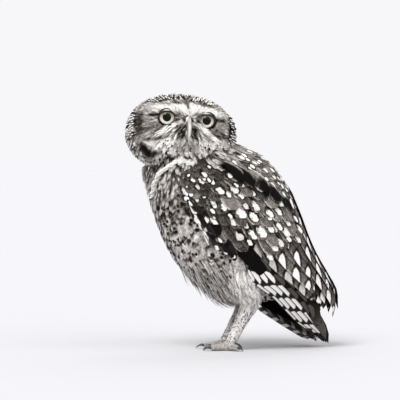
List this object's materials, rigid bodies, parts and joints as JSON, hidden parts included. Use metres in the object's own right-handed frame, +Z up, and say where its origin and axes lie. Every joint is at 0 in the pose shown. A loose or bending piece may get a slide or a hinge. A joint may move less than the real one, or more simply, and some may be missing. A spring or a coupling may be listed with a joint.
{
  "type": "burrowing owl model",
  "caption": "Life-size standing burrowing owl, wings folded, head turned over its left shoulder, as a still museum model on flat-soled feet.",
  "frame": {"origin": "on the floor, under the middle of the whole box", "axes": "+Z up, -Y the way the body faces, +X the owl's left; the head is turned to face +X"},
  "size_m": [0.095, 0.1818, 0.2082],
  "materials": {
    "contour_feathers": "soft body feathers, off-white mottled with dark brown",
    "wing_feathers": "grey-brown wing feathers with round white spots",
    "flight_feathers": "dark flight feathers with pale bars",
    "leg_skin": "pale scaly skin with short bristle feathers",
    "horn": "pale horn, smooth, half gloss",
    "claw_horn": "black horn, half gloss",
    "eye": "pale yellow iris round a black pupil, wet gloss"
  },
  "bodies": {
    "root": {"head": "contour_feathers", "neck": "contour_feathers", "trunk": "contour_feathers", "bill_upper": "horn", "bill_lower": "horn", "eye_left": "eye", "eye_right": "eye", "wing_left": "wing_feathers", "wing_right": "wing_feathers", "primaries_left": "flight_feathers", "primaries_right": "flight_feathers", "tail": "flight_feathers", "thigh_left": "contour_feathers", "thigh_right": "contour_feathers", "shank_left": "leg_skin", "shank_right": "leg_skin", "foot_left": "leg_skin", "foot_right": "leg_skin", "claw_inner_left": "claw_horn", "claw_middle_left": "claw_horn", "claw_outer_left": "claw_horn", "claw_hind_left": "claw_horn", "claw_inner_right": "claw_horn", "claw_middle_right": "claw_horn", "claw_outer_right": "claw_horn", "claw_hind_right": "claw_horn"}
  },
  "joints": []
}
